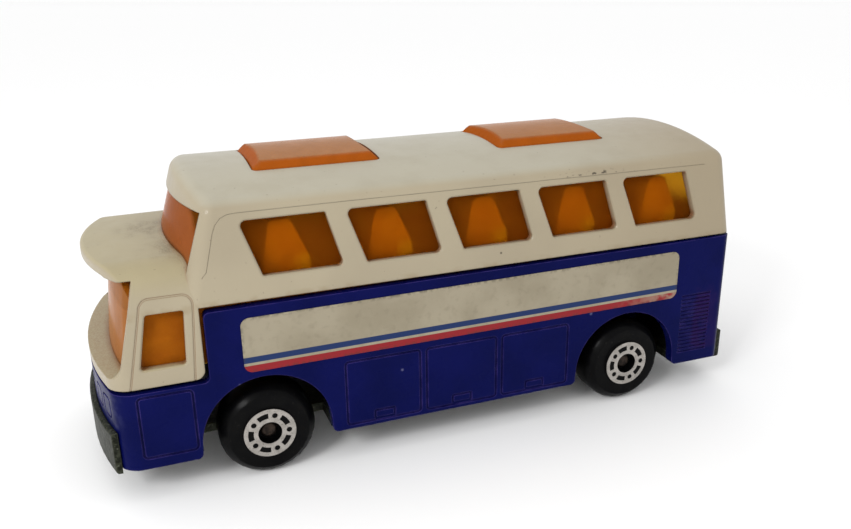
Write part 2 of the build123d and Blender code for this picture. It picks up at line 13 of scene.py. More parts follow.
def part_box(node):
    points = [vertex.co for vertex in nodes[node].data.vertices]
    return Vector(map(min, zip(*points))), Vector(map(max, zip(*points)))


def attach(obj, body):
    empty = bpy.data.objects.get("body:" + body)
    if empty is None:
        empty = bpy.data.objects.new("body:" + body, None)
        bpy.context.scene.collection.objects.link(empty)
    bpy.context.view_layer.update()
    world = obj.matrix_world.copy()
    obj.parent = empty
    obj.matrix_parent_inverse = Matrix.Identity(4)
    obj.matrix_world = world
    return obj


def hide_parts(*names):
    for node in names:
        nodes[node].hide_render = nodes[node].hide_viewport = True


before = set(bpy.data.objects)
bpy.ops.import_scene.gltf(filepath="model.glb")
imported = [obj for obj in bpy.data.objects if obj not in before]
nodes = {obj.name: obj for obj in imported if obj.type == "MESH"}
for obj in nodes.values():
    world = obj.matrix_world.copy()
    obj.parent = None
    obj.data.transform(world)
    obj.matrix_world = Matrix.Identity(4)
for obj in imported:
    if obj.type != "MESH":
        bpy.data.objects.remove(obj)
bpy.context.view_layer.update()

MM = 1000.0  # millimetres in a metre

# %% [markdown]
# ## The camera
# The toy is seen from its left front corner, a little from above, by a camera held close: the near wheel
# is much larger than the far one. A camera could be turned by eye until it fits. Here its place, the
# point it looks at and its small roll were worked out from the wheels and the long edges, and the lens
# from how fast those edges draw together, so every piece falls where it should.

# %% Place the camera
CAMERA_PLACE = Vector((0.03222, 0.09257, 0.05169))
CAMERA_AIM = Vector((-0.00206, 0.0, 0.01671))
CAMERA_ROLL = math.radians(-0.83)
LENS_MM = 35.44
SENSOR_MM = 36.0
NEAREST_SEEN = 0.005

bpy.ops.object.select_all(action="DESELECT")
bpy.ops.object.camera_add(location=CAMERA_PLACE)
camera = bpy.context.object
aim = (CAMERA_AIM - CAMERA_PLACE).to_track_quat("-Z", "Y")
camera.rotation_euler = (aim @ Quaternion((0, 0, 1), CAMERA_ROLL)).to_euler()
camera.data.sensor_fit = "HORIZONTAL"
camera.data.sensor_width = SENSOR_MM
camera.data.lens = LENS_MM
camera.data.clip_start = NEAREST_SEEN
bpy.context.scene.camera = camera
print("the camera is", round((CAMERA_PLACE - CAMERA_AIM).length * MM), "mm from the point it looks at")

# %% [markdown]
# ## Floor
# The toy stands on a wide sheet of white card. A curved backdrop would also do, but a flat sheet this
# wide already runs into the white of the room, and it shows the soft shadow that sets the toy on the
# ground.

# %% Lay the card
FLOOR_SIZE = 40.0
CARD_WHITE = (0.98, 0.98, 0.98, 1.0)
CARD_ROUGHNESS = 0.9
CARD_SHINE = 0.1

bpy.ops.mesh.primitive_plane_add(size=FLOOR_SIZE)
floor = bpy.context.object
floor.name = "floor"
white_card = bpy.data.materials.new("white_card")
white_card.use_nodes = True
card_inputs = white_card.node_tree.nodes["Principled BSDF"].inputs
card_inputs["Base Color"].default_value = CARD_WHITE
card_inputs["Roughness"].default_value = CARD_ROUGHNESS
card_inputs["Specular IOR Level"].default_value = CARD_SHINE
floor.data.materials.append(white_card)
print("the card is", FLOOR_SIZE, "m wide")

# %% [markdown]
# ## Light
# Nearly all the light is the even light of a bright white room. One soft lamp, high at the front left,
# tells the top from the sides and the front from the back. A second one, as small as a bulb, adds hardly
# any light: it is there for the sharp glints on the rounded corners. More lamps would only flatten the
# forms.

# %% Light the room
ROOM_LIGHT = 1.0
ROOM_WHITE = (1.0, 1.0, 1.0, 1.0)
LAMP_AIM = Vector((0.02, 0, 0.015))
STUDIO_LAMPS = (  # name, place, side in metres, watts
    ("key_light", Vector((0.17, 0.13, 0.15)), 0.07, 0.22),
    ("glint_light", Vector((0.16, 0.15, 0.17)), 0.012, 0.02),
)

for name, place, side, watts in STUDIO_LAMPS:
    bpy.ops.object.light_add(type="AREA", location=place)
    lamp = bpy.context.object
    lamp.name = name
    lamp.rotation_euler = (LAMP_AIM - place).to_track_quat("-Z", "Y").to_euler()
    lamp.data.size = side
    lamp.data.energy = watts
    print(name, "hangs", round(place.z * MM), "mm over the floor")
world = bpy.context.scene.world or bpy.data.worlds.new("room")
bpy.context.scene.world = world
world.use_nodes = True
world.node_tree.nodes["Background"].inputs["Color"].default_value = ROOM_WHITE
world.node_tree.nodes["Background"].inputs["Strength"].default_value = ROOM_LIGHT
bpy.context.scene.view_settings.view_transform = "Standard"

# %% [markdown]
# ## Colours
# Plastics and paints are compared with swatches on a chart, whose steps go from 0 to 255. Shaders
# reckon in linear light instead, so one helper turns a swatch's steps into light by the usual display
# curve, and every colour below is written in steps that can be checked against a chart.

# %% Swatches
SWATCH_STEPS = 255
CURVE_FOOT = 0.0405
FOOT_SLOPE = 12.92
CURVE_OFFSET = 0.055
CURVE_POWER = 2.4


def swatch(red, green, blue):
    """A colour in the 0 to 255 steps of a swatch, as linear light."""
    light = []
    for step in (red, green, blue):
        level = step / SWATCH_STEPS
        if level < CURVE_FOOT:
            light.append(level / FOOT_SLOPE)
        else:
            light.append(((level + CURVE_OFFSET) / (1 + CURVE_OFFSET)) ** CURVE_POWER)
    return (*light, 1.0)


print("a mid grey swatch is", round(swatch(128, 128, 128)[0], 3), "of full light")


# %% [markdown] ## A kit for finishes: numbers and colours Every finish is a Principled shader fed by
# patterns on Object coordinates. The nodes could be placed one by one for each finish, but nine finishes
# would repeat the same lines, so a kit has a short call for each kind of node. A pattern's strength is
# called a share: 0 leaves the surface alone and 1 covers it.

MIX_SHARE, MIX_FIRST, MIX_SECOND = 0, 6, 7  # the sockets that a Mix node uses for colours
MIX_RESULT = 2


class NodeKit:
    """A Principled material and short calls for nodes that work on numbers and colours."""

    def __init__(self, name, **plain_values):
        self.material = bpy.data.materials.new(name)
        self.material.use_nodes = True
        self.tree = self.material.node_tree
        self.shader = self.tree.nodes["Principled BSDF"]
        for socket, value in plain_values.items():
            self.shader.inputs[socket.replace("_", " ")].default_value = value
        points = self.node("TexCoord")
        in_mm = self.node("VectorMath", {0: points.outputs["Object"], "Scale": MM}, operation="SCALE")
        self.place = in_mm.outputs["Vector"]
        self.x, self.y, self.z = self.node("SeparateXYZ", {0: self.place}).outputs
        facing = self.node("SeparateXYZ", {0: points.outputs["Normal"]})
        self.ahead = facing.outputs["X"]
        self.up = facing.outputs["Z"]

    def node(self, kind, inputs=None, **settings):
        """A node of this kind; an input is either a plain value or another node's socket."""
        made = self.tree.nodes.new("ShaderNode" + kind)
        for name, value in settings.items():
            setattr(made, name, value)
        for key, value in (inputs or {}).items():
            if isinstance(value, bpy.types.NodeSocket):
                self.tree.links.new(value, made.inputs[key])
            else:
                made.inputs[key].default_value = value
        return made

    def math(self, operation, first, second=0.0):
        """What a Math node makes of two numbers."""
        return self.node("Math", {0: first, 1: second}, operation=operation).outputs[0]

    def both(self, *shares):
        """The share where all of these patterns meet."""
        whole = shares[0]
        for share in shares[1:]:
            whole = self.math("MULTIPLY", whole, share)
        return whole

    def either(self, *shares):
        """The share of the strongest of these patterns."""
        whole = shares[0]
        for share in shares[1:]:
            whole = self.math("MAXIMUM", whole, share)
        return whole

    def between(self, share, low, high):
        """A number that goes from low to high as the share goes from 0 to 1."""
        return self.node("MapRange", {"Value": share, "To Min": low, "To Max": high}).outputs["Result"]

    def mix(self, share, first, second, most=1.0):
        """The first colour under the second, which covers it by the share times the most."""
        if most < 1.0:
            share = self.both(share, most)
        inputs = {MIX_SHARE: share, MIX_FIRST: first, MIX_SECOND: second}
        return self.node("Mix", inputs, data_type="RGBA").outputs[MIX_RESULT]


def calls_of(kit):
    return ", ".join(name for name in vars(kit) if not name.startswith("_"))


print("calls for numbers and colours:", calls_of(NodeKit))


# %% [markdown]
# ## A kit for finishes: patterns
# Wear on a toy comes in a few kinds: clouds of dirt, spots, bands along a seam and rubbed edges. The same
# patterns also carry painted highlights on edges and painted shade in the nooks. Image textures could show
# them, but they need a UV map and blur when seen close. Noise and ramps stay sharp at any size, and the
# Bevel and Ambient Occlusion nodes find edges and nooks by themselves.

EDGE_TURN = (0.995, 0.90)  # cosine of the turn that starts to count as an edge, and of one that is an edge
BEVEL_SAMPLES = 6
NOOK_SAMPLES = 8


class PatternKit(NodeKit):
    """Patterns on a surface, each of them a share."""

    def ramp(self, value, low, high):
        """0 up to the low value, 1 from the high one, and a soft rise between; high may be the smaller."""
        return self.node("MapRange", {"Value": value, "From Min": low, "From Max": high},
                         interpolation_type="SMOOTHSTEP").outputs["Result"]

    def band(self, value, low, high, soft):
        """1 between the low and the high value, with borders that fade over the soft width each way."""
        return self.both(self.ramp(value, low - soft, low + soft), self.ramp(value, high + soft, high - soft))

    def noise(self, size, detail=2.0, stretch=(1.0, 1.0, 1.0)):
        """Cloudy noise whose lumps are about this many millimetres across."""
        drawn = self.node("Mapping", {"Vector": self.place, "Scale": stretch}).outputs[0]
        return self.node("TexNoise", {"Vector": drawn, "Scale": 1 / size, "Detail": detail}).outputs["Fac"]

    def clouds(self, size, low, high, detail=2.0, stretch=(1.0, 1.0, 1.0)):
        """The share of such noise that rises from the low value to the high one."""
        return self.ramp(self.noise(size, detail, stretch), low, high)

    def spot(self, place, reach, ragged=0.0, core=0.2):
        """1 in the core of a spot and 0 at its reach, with a border that noise may make ragged."""
        away = self.node("VectorMath", {0: self.place, 1: place}, operation="DISTANCE").outputs["Value"]
        if ragged:
            lumps = self.math("SUBTRACT", self.noise(size=reach / 2, detail=4.0), 0.5)
            away = self.math("ADD", away, self.math("MULTIPLY", lumps, ragged * 2 * reach))
        return self.ramp(away, reach, core * reach)

    def edges(self, radius):
        """A normal that rounds every sharp edge, and the share of the surface that lies on such an edge."""
        rounded = self.node("Bevel", {"Radius": radius / MM}, samples=BEVEL_SAMPLES).outputs["Normal"]
        flat = self.node("NewGeometry").outputs["Normal"]
        turn = self.node("VectorMath", {0: rounded, 1: flat}, operation="DOT_PRODUCT").outputs["Value"]
        return rounded, self.ramp(turn, *EDGE_TURN)

    def nook(self, reach):
        """The share of a corner or gap: how much of the open side is closed off within the reach."""
        open_side = self.node("AmbientOcclusion", {"Distance": reach / MM}, samples=NOOK_SAMPLES)
        return self.math("SUBTRACT", 1.0, open_side.outputs["AO"])


print("calls for patterns:", calls_of(PatternKit))


# %% [markdown]
# ## A kit for finishes: onto the solids
# A finish ends with its colour, its roughness and its fine bumps joined to the shader, and with the material
# put on the solids that have it. The frame's own materials are plain stand-ins, so they are cleared first.

class Finish(PatternKit):
    """A finish: patterns joined to the shader and put on solids."""

    def surface(self, colour, roughness, height, depth, normal=None):
        """Joins the patterns to the shader; the height's bumps are as deep as the depth."""
        self.tree.links.new(colour, self.shader.inputs["Base Color"])
        self.tree.links.new(roughness, self.shader.inputs["Roughness"])
        bump = self.node("Bump", {"Height": height, "Distance": depth / MM})
        if normal is not None:
            self.tree.links.new(normal, bump.inputs["Normal"])
        self.tree.links.new(bump.outputs["Normal"], self.shader.inputs["Normal"])

    def tell(self, layer):
        """Says which layer of the finish is done."""
        print(self.material.name, "has", layer + ",", len(self.tree.nodes), "nodes so far")

    def coat(self, *names):
        """Puts the finish on these solids in place of what they had."""
        for name in names:
            nodes[name].data.materials.clear()
            nodes[name].data.materials.append(self.material)
        print(self.material.name, "is on", ", ".join(names))


print("calls for the solids:", calls_of(Finish))

# %% [markdown]
# ## Cream upper shell: the moulding
# The upper half is one moulding in cream plastic. It is not one flat cream: a painted light makes it lighter
# and cooler on the roof, it is yellower on the peak over the windscreen, and a painted shade makes it
# duller to the rear. The places could be painted on a UV map, but this toy's parts lie along its axes, so
# soft ramps of height, length and facing find them with no unwrapping.

# %% Cream plastic: tones of the moulding
CREAM = swatch(162, 151, 128)
CREAM_DULL = swatch(156, 145, 123)
CREAM_REAR_SHADE = swatch(150, 136, 112)
CREAM_ROOF_LIT = swatch(168, 163, 146)
CREAM_PEAK = swatch(162, 151, 120)
TO_REAR_X = (0.0, -36.0)
ROOF_X = (-36.0, -12.0)
ROOF_Z = (27.0, 29.0)
PEAK_X = (26.0, 28.0)

cream = Finish("cream_plastic", Specular_IOR_Level=0.15, Coat_Weight=0.2, Coat_Roughness=0.12)
tone = cream.mix(cream.clouds(size=11.0, low=0.35, high=0.65), CREAM, CREAM_DULL)
# painted shade: the cream turns duller towards the rear
tone = cream.mix(cream.ramp(cream.x, *TO_REAR_X), tone, CREAM_REAR_SHADE, most=0.6)
# painted light: faces that look up on the roof are lighter and cooler
level = cream.ramp(cream.up, low=0.5, high=0.95)
roof = cream.both(level, cream.ramp(cream.z, *ROOF_Z), cream.ramp(cream.x, *ROOF_X))
tone = cream.mix(roof, tone, CREAM_ROOF_LIT, most=0.8)
peak_top = cream.ramp(cream.up, low=0.3, high=0.9)
tone = cream.mix(cream.both(cream.ramp(cream.x, *PEAK_X), peak_top), tone, CREAM_PEAK)
cream.tell("its tones")

# %% [markdown]
# ## Cream upper shell: dust and dirt
# Years of handling show on the faces that look up: a thin dust everywhere, and grey-brown dirt where the
# peak meets the upper front pane. Each mark is a spot at its own place, broken up by coarse and fine
# noise, so it has the ragged border of real dirt and not the clean one of a painted patch.

# %% Cream plastic: dust, and dirt on the peak
DUST = swatch(134, 122, 96)
PEAK_DIRT = swatch(98, 84, 48)
PEAK_SPOTS = (  # place, reach
    ((28.6, -1.5, 24.8), 6.0),
    ((27.6, 6.5, 24.6), 4.5),
)

dust = cream.both(cream.ramp(cream.up, low=0.2, high=0.9), cream.clouds(4.0, 0.42, 0.72, detail=4.0))
tone = cream.mix(dust, tone, DUST, most=0.14)
grain = cream.clouds(size=0.16, low=0.36, high=0.66)
lumps = cream.clouds(size=1.2, low=0.35, high=0.65, detail=4.0, stretch=(1.0, 0.6, 1.0))
spots = cream.either(*[cream.spot(place, reach, ragged=0.35) for place, reach in PEAK_SPOTS])
broken = cream.both(cream.between(grain, low=0.4, high=1.0), cream.between(lumps, low=0.25, high=0.8))
tone = cream.mix(cream.both(spots, peak_top, broken), tone, PEAK_DIRT)
cream.tell("dust and dirt")

# %% [markdown]
# ## Cream upper shell: tint beside the amber
# Cream takes on the colour of the amber next to it. Light that has passed through the windows tints the
# cut edges round them, and the ledge at the windscreen's foot is brown. Traced light would give some of
# it, but only with many bounces, so the corners are found by an Ambient Occlusion node and given a painted
# amber light, darker than the cream, which is also a painted shade.

# %% Cream plastic: tint beside the amber
AMBER_LIGHT_AND_SHADE = swatch(124, 74, 30)
LEDGE_TINT = swatch(132, 96, 50)
SIDE_WINDOWS_X = (23.4, 23.0)
SIDE_WINDOWS_Z = (21.2, 29.0)
ROOF_LIGHTS_Z = (30.5, 30.9)
FRONT_PANES_X = (26.0, 26.6)
LEDGE_X = (31.5, 32.5)
LEDGE_Z = (13.4, 15.2)
GLOW_REACH = 1.2

side_windows = cream.both(cream.band(cream.z, *SIDE_WINDOWS_Z, soft=0.15),
                          cream.ramp(cream.x, *SIDE_WINDOWS_X))
beside_amber = cream.either(side_windows, cream.ramp(cream.z, *ROOF_LIGHTS_Z),
                            cream.ramp(cream.x, *FRONT_PANES_X))
# painted amber light and painted shade in the corners, darker than the cream
corner_light_and_shade = cream.ramp(cream.nook(GLOW_REACH), low=0.15, high=0.5)
tone = cream.mix(cream.both(beside_amber, corner_light_and_shade), tone, AMBER_LIGHT_AND_SHADE, most=0.85)
ledge = cream.both(cream.band(cream.z, *LEDGE_Z, soft=0.3), cream.ramp(cream.up, low=0.4, high=0.9),
                   cream.ramp(cream.x, *LEDGE_X))
tone = cream.mix(cream.both(ledge, cream.between(grain, low=0.0, high=0.35)), tone, LEDGE_TINT)
cream.tell("tint beside the amber")

# %% [markdown]
# ## Cream upper shell: scuffs and specks
# Black scuffs lie in the crease over the fourth window, fine specks are all over, and two larger ones sit
# on the peak's edge and under the third window. The joint with the lower shell holds a line of dirt.
# Noise above a high limit gives the specks, since only its rare peaks pass. Last come a soft gloss, a
# fine unevenness and rounded edges, as on any moulding.

# %% Cream plastic: scuffs, specks and surface
SCUFF = swatch(60, 52, 42)
FOOT_DIRT = swatch(142, 126, 98)
SCUFFS_X = (-21.5, -13.8)
SCUFFS_Z = (29.4, 29.85)
LEFT_SIDE_Y = (0.0, 1.0)
PEAK_SPECK = (36.65, 2.9, 23.8)
WINDOW_SPECK = (-6.1, 13.2, 21.83)
FOOT_Z = (20.0, 20.9)
CREAM_EDGE = 0.22

crease = cream.both(cream.band(cream.z, *SCUFFS_Z, soft=0.1), cream.band(cream.x, *SCUFFS_X, soft=0.6),
                    cream.ramp(cream.y, *LEFT_SIDE_Y))
scuffs = cream.both(crease, cream.clouds(0.3, 0.575, 0.64, detail=3.0, stretch=(0.45, 1.0, 1.0)))
specks = cream.both(cream.clouds(size=0.32, low=0.765, high=0.80, detail=1.0), 0.5)
marks = cream.either(scuffs, specks, cream.spot(PEAK_SPECK, reach=0.35, ragged=0.4),
                     cream.spot(WINDOW_SPECK, reach=0.2))
tone = cream.mix(marks, tone, SCUFF, most=0.85)
foot_dirt = cream.both(cream.band(cream.z, *FOOT_Z, soft=0.25), cream.clouds(1.6, 0.45, 0.65, detail=4.0))
tone = cream.mix(foot_dirt, tone, FOOT_DIRT, most=0.45)
gloss = cream.between(cream.noise(size=1.5, detail=4.0), low=0.34, high=0.52)
rounded = cream.edges(CREAM_EDGE)[0]
cream.surface(tone, gloss, cream.noise(size=0.5, detail=4.0), depth=0.006, normal=rounded)
cream.coat("upper")

# %% [markdown]
# ## Blue lower shell
# The lower half is die-cast zinc under a thick coat of deep blue enamel. The coat is thinnest on the
# sharp edges of the doors, lamps and louvres, where a lighter blue is put on: partly worn enamel and partly
# a painted highlight along the edges. The edges could be picked by hand, but a Bevel node finds them all:
# where its rounded normal leaves the flat one, there is an edge.

# %% Blue enamel: the coat, and its worn and highlighted edges
ENAMEL = swatch(5, 10, 60)
ENAMEL_LIGHT = swatch(8, 13, 70)
ENAMEL_WORN_AND_HIGHLIGHT = swatch(62, 52, 116)
BLUE_EDGE = 0.16

blue = Finish("blue_enamel", Specular_IOR_Level=0.03, Coat_Weight=0.02, Coat_Roughness=0.1)
rounded, on_edge = blue.edges(BLUE_EDGE)
tone = blue.mix(blue.clouds(size=6.0, low=0.3, high=0.7, detail=3.0), ENAMEL, ENAMEL_LIGHT)
patchy = blue.between(blue.clouds(size=1.4, low=0.35, high=0.65, detail=4.0), low=0.35, high=1.0)
# wear and painted highlight: the enamel's edges are lighter
tone = blue.mix(blue.both(on_edge, patchy), tone, ENAMEL_WORN_AND_HIGHLIGHT, most=0.85)
blue.tell("its coat and worn edges")

# %% [markdown]
# ## Blue lower shell: lamps, louvres and chips
# The lamps on the front have been rubbed pale, and the louvres by the rear wheel have a purple-red bloom.
# Three chips in the side go nearly through to the metal. They are places on one coat, not finishes of
# their own, so they are mixed into the same colour.

# %% Blue enamel: lamps, louvres and chips
LAMP_RUBBED = swatch(92, 96, 140)
LOUVRE_BLOOM = swatch(58, 26, 72)
CHIP = swatch(116, 116, 146)
LAMPS_X = (34.8, 35.6)
LAMPS_Z = (8.5, 12.2)
LOUVRES_X = (-32.4, -33.0)
LOUVRES_Z = (5.5, 14.0)
CHIPS = (  # place, reach
    ((-17.8, 13.65, 12.8), 0.28),
    ((5.9, 13.65, 9.95), 0.22),
    ((23.5, 13.65, 11.55), 0.2),
)

lamps = blue.both(blue.band(blue.z, *LAMPS_Z, soft=0.3), blue.ramp(blue.x, *LAMPS_X),
                  blue.clouds(0.8, 0.45, 0.6, detail=4.0))
tone = blue.mix(blue.both(lamps, blue.between(on_edge, low=0.08, high=0.3)), tone, LAMP_RUBBED)
louvres = blue.both(blue.ramp(blue.x, *LOUVRES_X), blue.band(blue.z, *LOUVRES_Z, soft=0.3),
                    blue.clouds(1.8, 0.3, 0.6, detail=3.0))
tone = blue.mix(blue.both(louvres, blue.between(on_edge, low=0.15, high=0.7)), tone, LOUVRE_BLOOM)
chips = blue.either(*[blue.spot(place, reach, ragged=0.5) for place, reach in CHIPS])
tone = blue.mix(chips, tone, CHIP, most=0.45)
gloss = blue.between(blue.noise(size=2.0, detail=4.0), low=0.2, high=0.36)
blue.surface(tone, gloss, blue.noise(size=0.9, detail=3.0), depth=0.006, normal=rounded)
blue.coat("body")

# %% [markdown]
# ## Amber windows: how cloudy they are
# One clear amber moulding makes every window and both roof lights. It is old and a little hazy, so it is
# part clear and part cloudy. The front panes, the roof lights and the edge that shows at the waist are
# the cloudiest. One share, called haze, says how cloudy each place is: the windscreen is told from the
# cab's side windows by the way it faces, and the others by their height.

# %% Amber plastic: haze
CAB_X = (25.6, 26.4)
UPPER_PANE_Z = (24.0, 24.6)
ROOF_LIGHT_Z = (30.6, 31.2)
WAIST_Z = (20.9, 20.5)
HAZE_FRONT_PANE = 0.75
HAZE_ROOF_LIGHT = 0.85
HAZE_CAB = 0.5
HAZE_WAIST = 0.9
HAZE_ELSEWHERE = 0.24

amber = Finish("amber_plastic", Specular_IOR_Level=0.005)
cab = amber.ramp(amber.x, *CAB_X)
to_front = amber.either(amber.ramp(amber.ahead, low=0.1, high=0.3), amber.ramp(amber.z, *UPPER_PANE_Z))
front_pane = amber.both(cab, to_front)
roof_light = amber.ramp(amber.z, *ROOF_LIGHT_Z)
waist = amber.ramp(amber.z, *WAIST_Z)
haze = amber.either(amber.both(front_pane, HAZE_FRONT_PANE), amber.both(roof_light, HAZE_ROOF_LIGHT),
                    amber.both(cab, HAZE_CAB), amber.both(waist, HAZE_WAIST), HAZE_ELSEWHERE)
haze = amber.both(haze, amber.between(amber.noise(size=1.2, detail=4.0), low=0.85, high=1.15))
amber.tell("its haze")

# %% [markdown]
# ## Amber windows: colour and clearness
# The cloudy part is a Principled shader in the colours of light scattered inside the plastic: orange in
# the sides, and paler in the front panes, partly by a painted reflection, and on the tops of the roof
# lights, by painted light, with a painted highlight along their foot. The clear part is a tinted,
# rough Refraction shader, which lets light through and blurs the seats behind. One glass shader
# could be made rougher for the cloudy panes, but rough glass still has no colour of its own, so the two
# are mixed by the haze.

# %% Amber plastic: colour and clearness
AMBER = swatch(154, 85, 16)
AMBER_DEEP = swatch(142, 75, 14)
PANE_LOW_HAZE_AND_REFLECTION = swatch(152, 98, 54)
PANE_HIGH_HAZE_AND_REFLECTION = swatch(152, 84, 42)
LENS_SIDE = swatch(164, 82, 22)
LENS_TOP_LIT = swatch(166, 117, 82)
LENS_FOOT_HIGHLIGHT = swatch(196, 122, 52)
PANE_FADE_Z = (23.0, 26.0)
LENS_FOOT_Z = (31.6, 30.9)
AMBER_TINT = (0.99, 0.825, 0.37, 1.0)
AMBER_BLUR = 0.5
AMBER_IOR = 1.22
AMBER_EDGE = 0.6
GLANCE_BLEND = 0.02

rounded, on_edge = amber.edges(AMBER_EDGE)
cloud = amber.mix(amber.clouds(size=2.0, low=0.3, high=0.7, detail=3.0), AMBER, AMBER_DEEP)
# partly haze and partly a painted reflection: the front panes are paler, most at their foot
pane = amber.mix(amber.ramp(amber.z, *PANE_FADE_Z), PANE_LOW_HAZE_AND_REFLECTION, PANE_HIGH_HAZE_AND_REFLECTION)
cloud = amber.mix(front_pane, cloud, pane)
rounded_up = amber.node("SeparateXYZ", {0: rounded}).outputs["Z"]
# painted light: the tops of the roof lights, facing up, are paler
lens = amber.mix(amber.ramp(rounded_up, low=0.72, high=0.97), LENS_SIDE, LENS_TOP_LIT)
# painted highlight: a bright line along the foot edge of the roof lights
lens_foot_highlight = amber.both(on_edge, amber.ramp(amber.z, *LENS_FOOT_Z))
lens = amber.mix(lens_foot_highlight, lens, LENS_FOOT_HIGHLIGHT, most=0.6)
cloud = amber.mix(roof_light, cloud, lens)
gloss = amber.between(amber.noise(size=1.0, detail=4.0), low=0.1, high=0.24)
amber.surface(cloud, gloss, amber.noise(size=1.5, detail=3.0), depth=0.01, normal=rounded)
clear = amber.node("BsdfRefraction", {"Color": AMBER_TINT, "Roughness": AMBER_BLUR, "IOR": AMBER_IOR})
glance = amber.node("LayerWeight", {"Blend": GLANCE_BLEND}).outputs["Fresnel"]
cloudy_share = amber.math("MINIMUM", amber.math("ADD", haze, glance), 1.0)
amber_mix = amber.node("MixShader", {0: cloudy_share, 1: clear.outputs[0], 2: amber.shader.outputs[0]})
amber.tree.links.new(amber_mix.outputs[0], amber.tree.nodes["Material Output"].inputs["Surface"])
amber.coat("glazing")

# %% [markdown]
# ## Yellow seats
# The seats are one yellow tray, seen only through the amber. Light gathers on the front of each bench,
# low in the windows, which is what makes the rows readable from outside. A lamp inside could do it, but
# the real toy has none, so the benches' noses get a painted highlight in a brighter yellow. They repeat at
# the seat pitch, so a modulo of the length finds every one of them. The edges get a fainter painted
# highlight.

# %% Yellow plastic
SEAT_YELLOW = swatch(222, 160, 24)
SEAT_DEEP = swatch(210, 142, 18)
SEAT_EDGE_HIGHLIGHT = swatch(240, 188, 60)
SEAT_NOSE_HIGHLIGHT = swatch(255, 222, 74)
SEAT_FOOT_X = 14.67
SEAT_PITCH = 11.4
NOSE_LENGTH = (2.4, 0.6)
NOSE_Z = (21.4, 23.6)
SEAT_EDGE = 0.3

yellow = Finish("yellow_plastic", Specular_IOR_Level=0.3)
rounded, on_edge = yellow.edges(SEAT_EDGE)
tone = yellow.mix(yellow.clouds(size=3.0, low=0.3, high=0.7, detail=3.0), SEAT_YELLOW, SEAT_DEEP)
# painted highlight on the seats' edges
tone = yellow.mix(on_edge, tone, SEAT_EDGE_HIGHLIGHT, most=0.3)
# painted highlight on the benches' noses
past_foot = yellow.math("FLOORED_MODULO", yellow.math("SUBTRACT", yellow.x, SEAT_FOOT_X), SEAT_PITCH)
nose = yellow.both(yellow.ramp(past_foot, *NOSE_LENGTH), yellow.band(yellow.z, *NOSE_Z, soft=0.6))
tone = yellow.mix(nose, tone, SEAT_NOSE_HIGHLIGHT)
gloss = yellow.between(yellow.noise(size=1.2, detail=3.0), low=0.4, high=0.6)
yellow.surface(tone, gloss, yellow.noise(size=0.8, detail=3.0), depth=0.01, normal=rounded)
yellow.coat("seats")

# %% [markdown]
# ## Bare zinc
# The base plate and its bumpers are unpainted zinc, dull and mottled, with lighter edges and bright
# grains, and a painted shade makes them nearly black in the nooks under the shell. A fully metallic shader
# would mirror the white floor, while old zinc has a grey skin, so it is only half metallic.

# %% Zinc
ZINC_DARK = swatch(26, 28, 21)
ZINC = swatch(52, 54, 44)
ZINC_EDGE_LIGHT = swatch(74, 76, 66)
ZINC_GRAIN = swatch(88, 90, 79)
ZINC_PAINTED_SHADE = swatch(14, 14, 12)
ZINC_EDGE = 0.2
NOOK_REACH = 4.0

zinc = Finish("bare_zinc", Metallic=0.5, Specular_IOR_Level=0.1)
rounded, on_edge = zinc.edges(ZINC_EDGE)
tone = zinc.mix(zinc.clouds(size=0.5, low=0.36, high=0.64, detail=5.0), ZINC_DARK, ZINC)
tone = zinc.mix(on_edge, tone, ZINC_EDGE_LIGHT, most=0.6)
tone = zinc.mix(zinc.clouds(size=0.25, low=0.60, high=0.72, detail=3.0), tone, ZINC_GRAIN)
# painted shade: nearly black where the Ambient Occlusion share is high
tone = zinc.mix(zinc.ramp(zinc.nook(NOOK_REACH), low=0.45, high=0.85), tone, ZINC_PAINTED_SHADE)
gloss = zinc.between(zinc.noise(size=0.8, detail=4.0), low=0.38, high=0.62)
zinc.surface(tone, gloss, zinc.noise(size=0.3, detail=4.0), depth=0.05, normal=rounded)
zinc.coat("base", "rivets")

# %% [markdown]
# ## Axle steel and hub foil
# The axle ends are brown with tarnish, deep in the hubs. The hub rings are hot stamped silver foil with
# dark nicks where the foil has lifted. Both are thin or hidden metals, so a metallic shader with a little
# noise in its colour and roughness is all they need.

# %% Steel and foil
STEEL_BROWN = swatch(30, 24, 20)
STEEL = swatch(58, 48, 41)
FOIL_DULL = swatch(156, 151, 145)
FOIL = swatch(174, 169, 163)
FOIL_NICK = swatch(70, 66, 60)

steel = Finish("axle_steel", Metallic=0.8)
tone = steel.mix(steel.clouds(size=0.5, low=0.35, high=0.65, detail=4.0), STEEL_BROWN, STEEL)
gloss = steel.between(steel.noise(size=0.4, detail=3.0), low=0.35, high=0.6)
steel.surface(tone, gloss, steel.noise(size=0.25, detail=3.0), depth=0.01)
steel.coat("axle_front", "axle_rear")

foil = Finish("silver_foil", Metallic=0.85)
tone = foil.mix(foil.clouds(size=0.8, low=0.35, high=0.65, detail=4.0), FOIL_DULL, FOIL)
tone = foil.mix(foil.clouds(size=0.14, low=0.60, high=0.70, detail=3.0), tone, FOIL_NICK, most=0.8)
gloss = foil.between(foil.noise(size=0.4, detail=4.0), low=0.25, high=0.5)
foil.surface(tone, gloss, foil.noise(size=0.2, detail=4.0), depth=0.012)
foil.coat(*sorted(name for name in nodes if name.startswith("hub_")))

# %% [markdown]
# ## Black plastic
# The wheels are black plastic, glossy when new and now finely scratched. Black shows form only by what it
# reflects, and in a white room that soon turns it grey, so the shine is weak and the scratches are faint.

# %% Black plastic
BLACK = swatch(5, 5, 6)
BLACK_RUBBED = swatch(9, 9, 9)
SCRATCH = swatch(52, 50, 48)
TYRE_EDGE = 0.25

